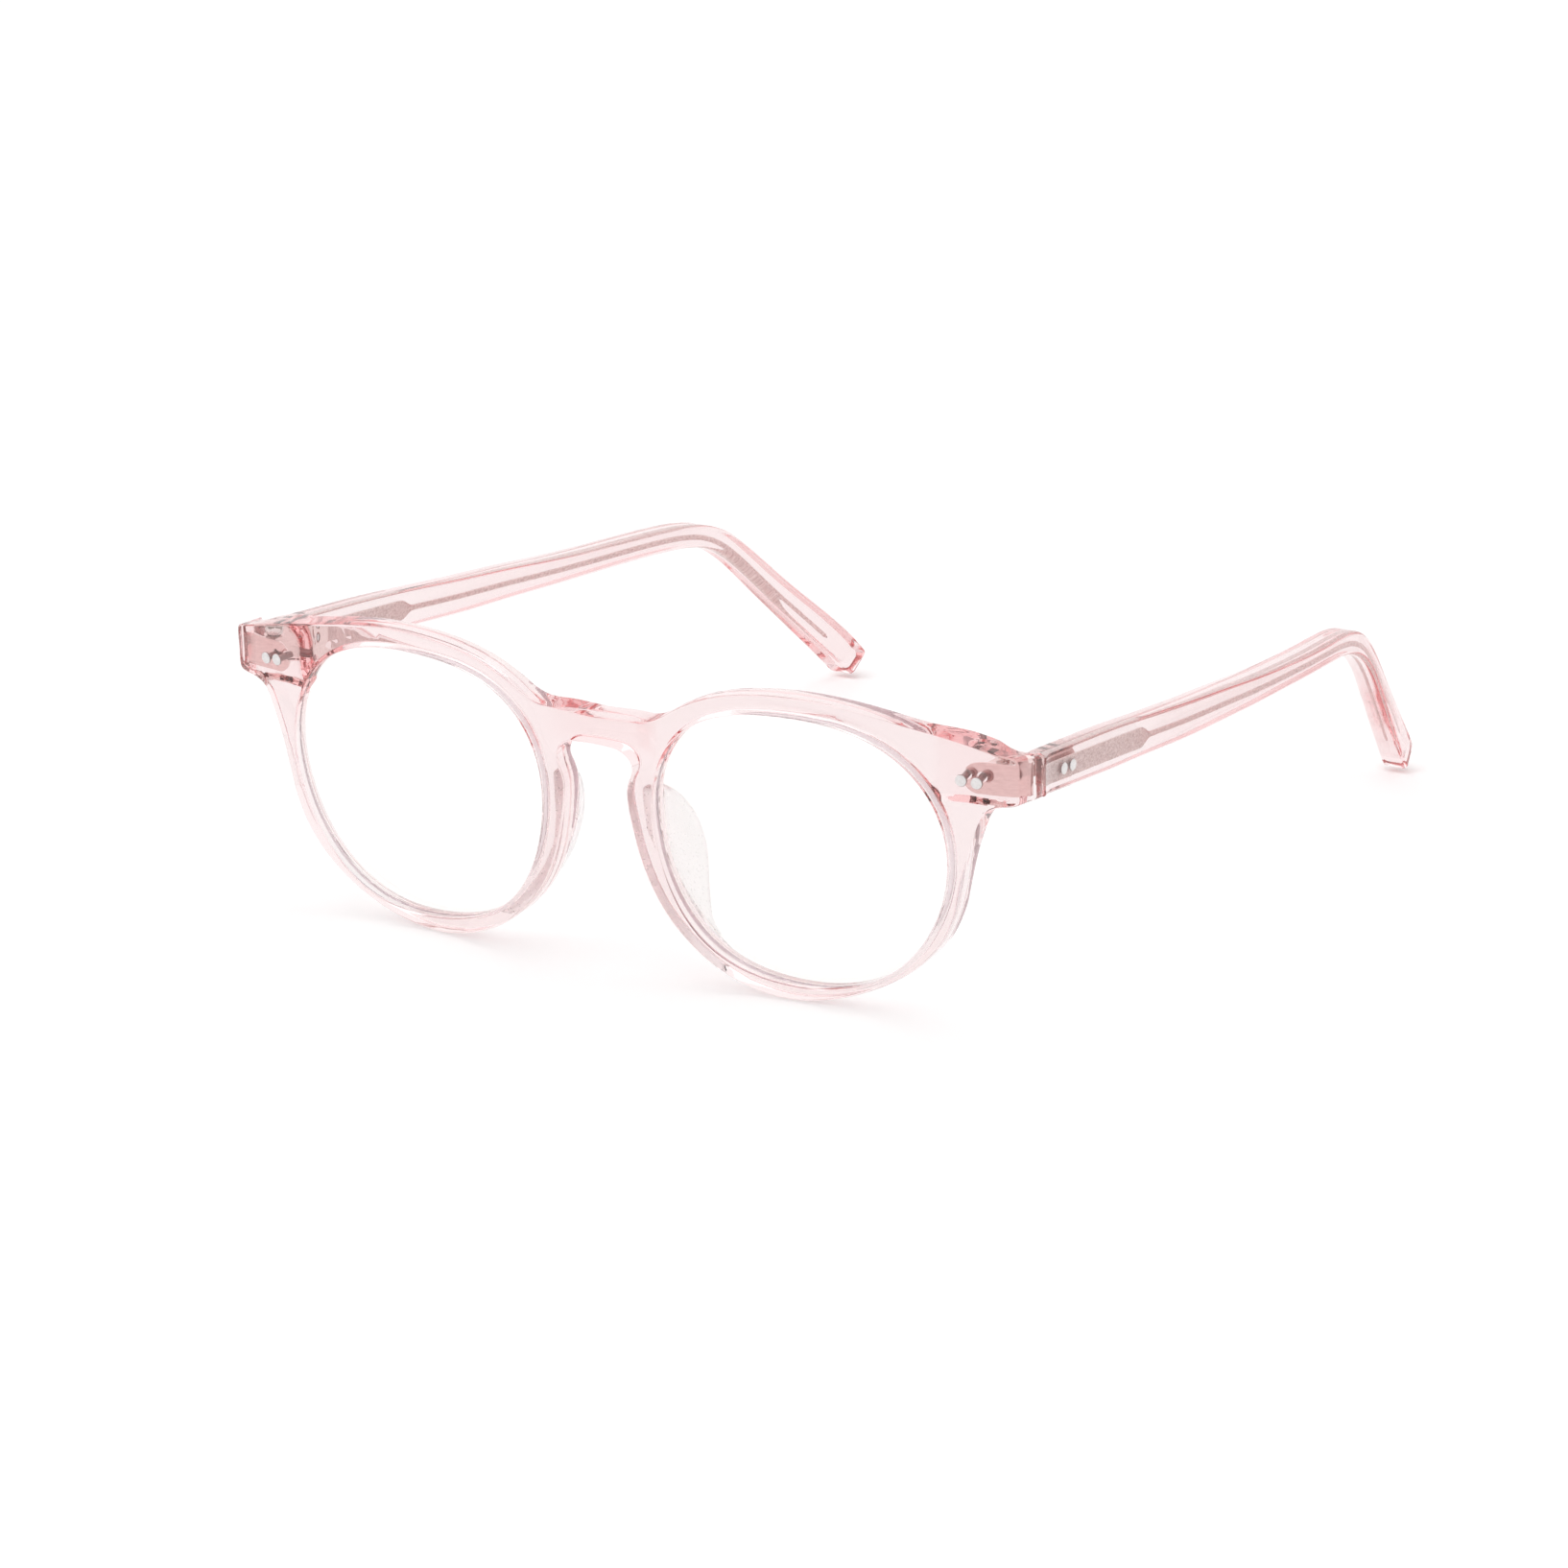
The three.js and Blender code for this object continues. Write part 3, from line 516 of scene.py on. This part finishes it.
def hole_wall(opening, out_of, side):
    """Rings down the wall of a lens opening, with its groove: blocks of points, front to back."""
    def ring(grow):
        return mirrored(opening + out_of * grow, side)

    edge = edge_profile(HOLE_EDGE_R, HOLE_STEPS)
    rings = [front_points(ring(grow), from_front=depth) for grow, depth in edge + GROOVE]
    return rings + [front_points(ring(grow), from_back=depth) for grow, depth in reversed(edge)]


def cap_points(loops):
    """Points inside the front's faces: an even grid, and the same with more at the blocks behind."""
    step = CAP_SPACING
    gx, gy = np.meshgrid(np.arange(-66, 66.1, step), np.arange(0, 46.1, step))
    grid = np.column_stack([gx.ravel() + 0.5 * step * (gy.ravel() / step % 2 > 0.5), gy.ravel()])
    grid = grid[inside_region(grid, loops)]
    grid = grid[clear_of(grid, loops, 0.45)]
    ends = [(s * x, z) for s in (1, -1) for x in np.arange(61.0, 65.4, 0.4)
            for z in np.arange(33.5, 42.0, 0.7)]
    undersides = [(s * x, z) for s in (1, -1) for x in np.arange(50.6, 65.6, 0.6)
                  for z in (31.8, 32.1, 32.35, 32.6, 32.85, 33.1)]
    dense = np.array(ends + undersides)
    dense = dense[inside_region(dense, loops)]
    dense = dense[clear_of(dense, loops, 0.2)]
    grid = grid[clear_of(grid, [dense], 0.3)]
    return grid, np.vstack([grid, dense])


def build_front():
    """Rolled outer edge, grooved lens openings, and the two faces that join them."""
    outer = front_loop()
    normals = loop_normals(outer)
    if enclosed(outer[:1] + normals[:1] * 0.01, outer)[0]:
        normals = -normals
    opening = lens_loop(HOLE_SPACING)
    out_of = loop_normals(opening)
    points, faces = [], []

    def add(block):
        start = sum(len(p) for p in points)
        points.append(block)
        return start

    rim_edge = edge_profile(EDGE_R, EDGE_STEPS)
    starts = [add(front_points(outer - normals * inset, from_front=depth)) for inset, depth in rim_edge]
    for share in (0.25, 0.5, 0.75):
        a = front_points(outer, from_front=EDGE_R)
        b = front_points(outer, from_back=EDGE_R)
        starts.append(add(a + (b - a) * share))
    starts += [add(front_points(outer - normals * inset, from_back=depth))
               for inset, depth in reversed(rim_edge)]
    outer_front, outer_back = starts[0], starts[-1]
    n = len(outer)
    for a, b in zip(starts[:-1], starts[1:]):
        faces += [(a + i, b + i, b + (i + 1) % n, a + (i + 1) % n) for i in range(n)]

    hole_starts = {}
    for side in (1, -1):
        m = len(opening)
        starts = [add(ring) for ring in hole_wall(opening, out_of, side)]
        for a, b in zip(starts[:-1], starts[1:]):
            quads = [(a + i, a + (i + 1) % m, b + (i + 1) % m, b + i) for i in range(m)]
            faces += quads if side > 0 else flip(quads)
        hole_starts[side] = (starts[0], starts[-1])

    hole_edges = [mirrored(opening + out_of * HOLE_EDGE_R, side) for side in (1, -1)]
    loops = [outer - normals * EDGE_R, *hole_edges]
    for back, extra in zip((False, True), cap_points(loops)):
        flat_faces = cap_faces(loops, extra)
        values = front_points(extra, from_back=0.0) if back else front_points(extra, from_front=0.0)
        inner = add(values)
        first = outer_back if back else outer_front
        ring = [first + i for i in range(n)]
        for side in (1, -1):
            start = hole_starts[side][1 if back else 0]
            ring += [start + i for i in range(len(opening))]
        ring += [inner + i for i in range(len(extra))]
        new = [tuple(ring[i] for i in f) for f in flat_faces]
        faces += new if back else flip(new)
    return stand_up(np.vstack(points)), faces


points, faces = build_front()
front = make_piece("acetate_front", points, faces, [ACETATE])
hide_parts("front_frame")
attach(front, "front")

# ---------------------------------------------------------------- lenses

DOME = 0.9                        # the lens bows forward by this much at its centre
LENS_FACE = (1.2, 2.8)            # depths of the lens faces at its edge
LENS_OUT = 0.12                   # lens face edge outside the opening
LENS_BEVEL = 0.56                 # crest of the bevel outside the opening


def build_lens():
    """Domed front face, bevelled ground edge, domed back face: points, faces and edge marks."""
    opening = lens_loop(HOLE_SPACING)
    m = len(opening)
    out_of = loop_normals(opening)
    centre = np.array([LENS_X, LENS_Z])
    points = []

    def dome(flat):
        angle = np.arctan2(flat[:, 1] - centre[1], flat[:, 0] - centre[0])
        part = np.linalg.norm(flat - centre, axis=1) / polar(LENS_R, LENS_COSINES, LENS_SINES, angle)
        return DOME * (1 - np.clip(part, 0, 1) ** 2)

    def ring(flat, depth):
        return np.column_stack([flat[:, 0], face_y(flat[:, 0]) + depth - dome(flat), flat[:, 1]])

    edge = opening + out_of * LENS_OUT
    shares = np.linspace(0.06, 1.0, 22)
    for share in shares:
        points.append(ring(centre + (edge - centre) * share, LENS_FACE[0]))
    middle = 0.5 * (LENS_FACE[0] + LENS_FACE[1])
    for blunt, away in ((0.08, -0.1), (0.0, 0.0), (0.08, 0.1)):
        points.append(ring(opening + out_of * (LENS_BEVEL - blunt), middle + away))
    for share in shares[::-1]:
        points.append(ring(centre + (edge - centre) * share, LENS_FACE[1]))
    rings = len(points)
    faces = ring_faces(rings, m)
    edge_rings = range(len(shares) - 1, len(shares) + 3)
    kinds = [1 if r in edge_rings else 0 for r in range(rings - 1) for _ in range(m)]
    points.append(ring(centre[None], LENS_FACE[0]))
    points.append(ring(centre[None], LENS_FACE[1]))
    total = rings * m
    faces += [(total, (i + 1) % m, i) for i in range(m)]
    last = (rings - 1) * m
    faces += [(total + 1, last + i, last + (i + 1) % m) for i in range(m)]
    kinds += [0] * (2 * m)
    return stand_up(np.vstack(points)), faces, kinds


points, faces, kinds = build_lens()
for where, here, turned in both_sides(points, faces):
    lens = make_piece(f"clear_lens_{where}", here, turned, [LENS, LENS_EDGE], kinds)
    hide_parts(f"lens_{where}")
    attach(lens, "front")

# ---------------------------------------------------------------- nose pads

# (height, place) of the root's nose side and lens side and of the rear crest,
# then (height, reach behind the rim)
PAD_HEIGHTS = (28.45, 4.4)
PAD_ROOT_NOSE = [(4.2, 18.6), (7, 15.2), (9.6, 12.9), (11.3, 11.3), (13.1, 10.1), (15, 8.9), (16.9, 7.9),
                 (19.1, 7.05), (21.4, 6.35), (23.9, 6.05), (26, 5.95), (29, 6.1)]
PAD_ROOT_LENS = [(4.2, 20.3), (7, 17), (9.6, 14.3), (12.5, 12.1), (16, 10.3), (20, 9.35), (24, 9.1),
                 (29, 9.1)]
PAD_REAR = [(4.2, 17.9), (5.2, 16.5), (7, 15.1), (9.6, 13.5), (11.3, 12.65), (13.1, 11.95), (15, 11.4),
            (16.9, 11), (19.1, 10.5), (21.4, 10), (23.9, 9.4), (26, 8.75), (29, 7.5)]
PAD_REACH = [(4.2, 0.3), (5.2, 0.9), (7, 1.5), (8.2, 2.1), (9.6, 2.95), (11.3, 4.1), (13.1, 5.2), (15, 6.05),
             (16.9, 6.7), (19.1, 6.9), (21.4, 6.6), (23.9, 5.55), (25.8, 4.15), (27.4, 2.4), (28.6, 0.5)]
PAD_CREST = 0.62                 # half the thickness at the rear crest
PAD_TOP, PAD_TOP_Y, PAD_SLOPE = 28.5, 2.0, 0.103   # the back of the leaning rim behind the pads
PAD_GAP = 0.06                   # from the rim to the root
PAD_LEVELS, PAD_SIDE_POINTS, PAD_CREST_POINTS = 60, 9, 8


def pad_section(z):
    """Level cut through a pad: out along its nose side, round the crest and back along its lens side."""
    root_y = PAD_TOP_Y + (PAD_TOP - z) * PAD_SLOPE + PAD_GAP
    reach = max(0.25, float(table(PAD_REACH, z)))
    nose, lens_side = float(table(PAD_ROOT_NOSE, z)), float(table(PAD_ROOT_LENS, z))
    middle = 0.5 * (nose + lens_side)
    shrink = 0.35 + 0.65 * float(smoothstep(np.array(reach), 0.0, 2.2))
    nose, lens_side = middle + (nose - middle) * shrink, middle + (lens_side - middle) * shrink
    rear = middle + (float(table(PAD_REAR, z)) - middle) * min(1.0, reach / 2.5)
    half, crest = PAD_CREST, root_y + max(reach - PAD_CREST, 0.05)
    section = []
    for t in np.linspace(0.0, 1.0, PAD_SIDE_POINTS)[:-1]:
        section.append((nose + (rear - half - nose) * t ** 1.25, root_y + (reach - half) * t))
    for a in np.linspace(-math.pi / 2, math.pi / 2, PAD_CREST_POINTS):
        section.append((rear + half * math.sin(a), crest + half * math.cos(a)))
    for t in np.linspace(1.0, 0.0, PAD_SIDE_POINTS)[1:]:
        section.append((lens_side + (rear + half - lens_side) * t ** 1.1, root_y + (reach - half) * t))
    return [(x, y - DEPTH_CENTRE, z) for x, y in section]


def build_pad():
    sections = [pad_section(z) for z in np.linspace(*PAD_HEIGHTS, PAD_LEVELS)]
    count = len(sections[0])
    faces = ring_faces(PAD_LEVELS, count)
    faces.append(tuple(range(count)))
    faces.append(tuple(reversed(range((PAD_LEVELS - 1) * count, PAD_LEVELS * count))))
    return np.array(sections, float).reshape(-1, 3) * MM, flip(faces)


points, faces = build_pad()
for where, here, turned in both_sides(points, faces):
    pad = make_piece(f"frosted_pad_{where}", here, turned, [PAD], sharp=math.radians(60))
    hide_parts(f"nose_pad_{where}")
    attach(pad, "front")

# ---------------------------------------------------------------- temples

OUTER_START, OUTER_SLOPE = (10.9, 66.1), -0.0367   # straight part of the outer face, seen from above
FLARE_END, FLARE_LENGTH, FLARE = 12.3, 2.6, 0.6    # ahead of this the temples widen to meet the end pieces
OUTER = [(58, 64.37), (66.8, 63.95), (76.6, 63.35), (86.4, 62.65), (96.5, 61.85), (104, 61),
         (111.4, 59.9), (118, 58.8), (124, 57.6), (130, 56.1), (136, 54.5), (142, 52.9), (150, 51.2)]
THICK = [(8, 3.4), (25, 3.4), (43, 3.4), (60, 3.9), (78, 4.25), (97, 4.5), (107, 4.5), (118, 4.1),
         (138, 4.2), (152, 4.5)]
# (depth, height, half the temple's height there)
SPINE = [(9.7, 36.41, 2.95), (18, 35.85, 2.98), (31, 35, 3.02), (42.5, 34.2, 2.82), (54.5, 33.3, 2.62),
         (66.8, 32.6, 2.32), (76.6, 31.97, 2.07), (86.5, 31.5, 1.87), (96.5, 31.1, 1.78), (104, 30.8, 1.76),
         (110, 30.35, 1.76), (114.4, 29.5, 1.8), (118.2, 28, 1.82), (121.2, 26.1, 1.82), (124.6, 23.3, 1.82),
         (131.1, 17.3, 2.0), (136, 12.9, 2.2), (140.6, 8.75, 2.4), (144.6, 5, 2.45), (147.7, 1.8, 2.35)]
WIRE_OFFSET = 0.455                                # place of the wire in the temple's thickness
WIRE_HALF, SHIELD_HALF = 0.42, 1.5                 # half heights of the wire and its plate
SHIELD_END, SHIELD_TAPER, WIRE_STOP = 40.2, 3.0, 0.945   # the plate narrows to the wire, which stops short
THIN_FROM, THIN_TO, THINNING = 110.0, 134.0, 0.15  # the wire tapers down the tip
CORE_START, CORE_SINK = 10.2, 0.2                  # the plate starts here, this far below the middle
BUTT_R, TIP_R = 0.35, 1.3                          # rounding of the temple's two ends


def outer_x(y):
    """Half width over the temples' outer faces at a depth."""
    y = np.asarray(y, float)
    line = OUTER_START[1] + OUTER_SLOPE * (y - OUTER_START[0])
    flare = FLARE * np.clip((FLARE_END - y) / FLARE_LENGTH, 0.0, 1.0) ** 1.5
    return np.where(y < OUTER[0][0], line + flare, table(OUTER, y))


def spine_stations(spacing, stop=1.0):
    """Stations down a part of the spine, and the up direction of each, square to the butt at the start."""
    curve = resample(catmull(SPINE, 24), spacing)
    curve = curve[:int(len(curve) * stop)]
    ahead = np.gradient(curve[:, :2], axis=0)
    ahead /= np.linalg.norm(ahead, axis=1)[:, None]
    square = smoothstep(curve[:, 0], 9.0, 26.0)[:, None]
    ahead = ahead * square + np.array([[1.0, 0.0]]) * (1 - square)
    ahead /= np.linalg.norm(ahead, axis=1)[:, None]
    return curve, np.stack([-ahead[:, 1], ahead[:, 0]], axis=1)


def round_section(corner, half_w, half_h, arc=6, flat=4):
    """Rounded rectangle, counter-clockwise: (across, up) pairs."""
    out = []
    corners = [(1, 1, 0), (-1, 1, 1), (-1, -1, 2), (1, -1, 3)]
    for sx, sy, quarter in corners:
        cx, cy = sx * (half_w - corner), sy * (half_h - corner)
        for a in np.linspace(0, math.pi / 2, arc + 1):
            t = a + quarter * math.pi / 2
            out.append((cx + corner * math.cos(t), cy + corner * math.sin(t)))
        nx, ny, q = corners[(quarter + 1) % 4]
        a0 = np.array(out[-1])
        t = q * math.pi / 2
        a1 = np.array((nx * (half_w - corner) + corner * math.cos(t),
                       ny * (half_h - corner) + corner * math.sin(t)))
        for s in np.linspace(0, 1, flat + 1)[1:-1]:
            out.append(tuple(a0 + (a1 - a0) * s))
    return out


def sweep(curve, up, sections, middle_of):
    """Closed mesh of sections standing on the spine, capped at both ends."""
    rings = []
    for (y, z, _), u, section in zip(curve, up, sections):
        ring = []
        for across, high in section:
            yy, zz = y + u[0] * high, z + u[1] * high
            ring.append((float(middle_of(yy)) + across, yy - DEPTH_CENTRE, zz))
        rings.append(ring)
    count = len(rings[0])
    points = np.array(rings, float).reshape(-1, 3) * MM
    faces = ring_faces(len(rings), count)
    faces.append(tuple(reversed(range(count))))
    faces.append(tuple(range((len(rings) - 1) * count, len(rings) * count)))
    return points, faces


def end_ease(near, far):
    """How far the section draws in this near the butt and this far from the tip."""
    if near < BUTT_R:
        return BUTT_R - math.sqrt(max(BUTT_R**2 - (BUTT_R - near) ** 2, 0.0))
    if far < TIP_R:
        return TIP_R - math.sqrt(max(TIP_R**2 - (TIP_R - far) ** 2, 0.0))
    return 0.0


def build_temple():
    curve, up = spine_stations(0.9)
    run = np.concatenate([[0.0], np.cumsum(np.linalg.norm(np.diff(curve[:, :2], axis=0), axis=1))])
    total = run[-1]
    at_butt = (0.0, 0.03, 0.1, 0.2, 0.32)
    at_tip = [total - d for d in (0.0, 0.03, 0.12, 0.3, 0.55, 0.85, 1.15, 1.45)]
    stations = sorted({*at_butt, *run[1:-1], *at_tip})
    curve = np.column_stack([np.interp(stations, run, column) for column in curve.T])
    up = np.column_stack([np.interp(stations, run, column) for column in up.T])
    sections = []
    for s, (y, _, half) in zip(stations, curve):
        inset = end_ease(s, total - s)
        thick = float(table(THICK, y))
        corner = 0.45 + 0.3 * float(smoothstep(np.array(y), 60.0, 120.0))
        sections.append(round_section(max(corner - inset * 0.4, 0.25), thick / 2 - inset, half - inset))
    return sweep(curve, up, sections, lambda y: outer_x(y) - table(THICK, y) / 2)


def build_core():
    curve, up = spine_stations(0.6, WIRE_STOP)
    keep = curve[:, 0] > CORE_START
    curve, up = curve[keep], up[keep]
    curve[:, 1] -= CORE_SINK
    sections = []
    for i, y in enumerate(curve[:, 0]):
        inset = 0.2 if i in (0, len(curve) - 1) else 0.0
        thinner = THINNING * float(smoothstep(np.array(y), THIN_FROM, THIN_TO))
        wire = float(smoothstep(np.array(y), SHIELD_END, SHIELD_END + SHIELD_TAPER))
        half = SHIELD_HALF + (WIRE_HALF - SHIELD_HALF) * wire - thinner
        across = 0.45 - 0.03 * wire - thinner
        corner = 0.15 + 0.2 * wire - thinner
        sections.append(round_section(corner - inset * 0.4, across - inset, half - inset, arc=5, flat=5))
    return sweep(curve, up, sections, lambda y: outer_x(y) - WIRE_OFFSET * table(THICK, y))


for builder, label, node, material, slot in (
    (build_temple, "acetate_temple", "temple", ACETATE, "acetate"),
    (build_core, "core_plate_and_wire", "core_wire", CORE, "core_wire"),
):
    points, faces = builder()
    for where, here, turned in both_sides(points, faces):
        piece = make_piece(f"{label}_{where}", here, turned, [material])
        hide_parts(f"{node}_{where}")
        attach(piece, f"temple_body_{where}")

# ---------------------------------------------------------------- hinge metal and rivets

METALS = (("front_rivet", FRONT_RIVET), ("rivet", TEMPLE_RIVET), ("leaf", POLISHED), ("screw", STEEL))

for name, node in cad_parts.items():
    metal = next((metal for word, metal in METALS if word in name), None)
    if metal is None:
        continue
    node.data.materials.clear()
    node.data.materials.append(metal)
    bevel = node.modifiers.new("worn_edges", "BEVEL")
    bevel.width = 0.06 * MM
    bevel.segments = 2
    bevel.limit_method = "ANGLE"
    bevel.angle_limit = math.radians(40)
    bevel.harden_normals = False

# ---------------------------------------------------------------- studio (metres)

FLOOR_HALF, FLOOR_SINK = 9.0, 0.0001
CARD_TOWARD = (0.45, -0.88, 0.12)       # a slightly darker, mauve patch of the surroundings lies this way
CARD_FROM, CARD_FULL = 0.75, 0.95       # cosines to that direction where the patch starts and is full
CARD_COLOUR = (0.75, 0.71, 0.73, 1.0)
WORLD_STRENGTH = 1.12
CAMERA_PLACE, CAMERA_AIM = (0.65183, -0.99942, 0.38658), (0.0176, 0.01984, 0.02506)
FOCAL, SENSOR = 201.2, 36.0             # millimetres


def build_floor():
    mesh = bpy.data.meshes.new("studio_floor")
    size = FLOOR_HALF
    corners = [(-size, -size, 0), (size, -size, 0), (size, size, 0), (-size, size, 0)]
    mesh.from_pydata(corners, [], [(0, 1, 2, 3)])
    floor = bpy.data.objects.new("studio_floor", mesh)
    bpy.context.scene.collection.objects.link(floor)
    n = Nodes("pale_floor")
    tone = n.ramp(n.noise(3.0, 2.0), [(0.3, (0.9, 0.9, 0.898)), (0.7, (0.915, 0.915, 0.913))])
    n.principled(Base_Color=tone, Roughness=0.6, Specular_IOR_Level=0.1)
    mesh.materials.append(n.material)
    floor.location.z = -FLOOR_SINK


def build_world():
    world = bpy.data.worlds.new("studio")
    bpy.context.scene.world = world
    world.use_nodes = True
    tree = world.node_tree
    tree.nodes.clear()
    out = tree.nodes.new("ShaderNodeOutputWorld")
    light = tree.nodes.new("ShaderNodeBackground")
    coordinates = tree.nodes.new("ShaderNodeTexCoord")
    toward = tree.nodes.new("ShaderNodeVectorMath")
    toward.operation = "DOT_PRODUCT"
    toward.inputs[1].default_value = Vector(CARD_TOWARD).normalized()
    ramp = tree.nodes.new("ShaderNodeValToRGB")
    ramp.color_ramp.elements[0].position = CARD_FROM
    ramp.color_ramp.elements[0].color = (1.0, 1.0, 1.0, 1.0)
    ramp.color_ramp.elements[1].position = CARD_FULL
    ramp.color_ramp.elements[1].color = CARD_COLOUR
    tree.links.new(coordinates.outputs["Generated"], toward.inputs[0])
    tree.links.new(toward.outputs["Value"], ramp.inputs["Fac"])
    tree.links.new(ramp.outputs["Color"], light.inputs["Color"])
    light.inputs["Strength"].default_value = WORLD_STRENGTH
    tree.links.new(light.outputs["Background"], out.inputs["Surface"])


def build_lamp(name, place, aim, size, watts):
    data = bpy.data.lights.new(name, "AREA")
    data.shape = "RECTANGLE"
    data.size, data.size_y = size
    data.energy = watts
    lamp = bpy.data.objects.new(name, data)
    lamp.location = place
    lamp.rotation_mode = "QUATERNION"
    lamp.rotation_quaternion = (Vector(aim) - Vector(place)).to_track_quat("-Z", "Y")
    bpy.context.scene.collection.objects.link(lamp)


def build_camera():
    data = bpy.data.cameras.new("camera")
    data.sensor_width = SENSOR
    data.lens = FOCAL
    data.clip_start, data.clip_end = 0.05, 40.0
    camera = bpy.data.objects.new("camera", data)
    place, aim = (Vector((x, y - DEPTH_CENTRE * MM, z)) for x, y, z in (CAMERA_PLACE, CAMERA_AIM))
    camera.location = place
    camera.rotation_mode = "QUATERNION"
    camera.rotation_quaternion = (aim - place).to_track_quat("-Z", "Y")
    bpy.context.scene.collection.objects.link(camera)
    bpy.context.scene.camera = camera


build_floor()
build_world()
build_lamp("top_softbox", (-0.35, 0.35, 1.3), (0, 0, 0), (1.4, 1.0), 1.8)
build_lamp("side_softbox", (-1.2, -0.5, 0.7), (0, 0, 0.02), (0.8, 1.0), 0.6)
build_camera()
bpy.context.scene.view_settings.view_transform = "Standard"
light_paths = bpy.context.scene.cycles
light_paths.max_bounces = 32
light_paths.transmission_bounces = 24
light_paths.glossy_bounces = 24
light_paths.diffuse_bounces = 8
light_paths.blur_glossy = 0.0
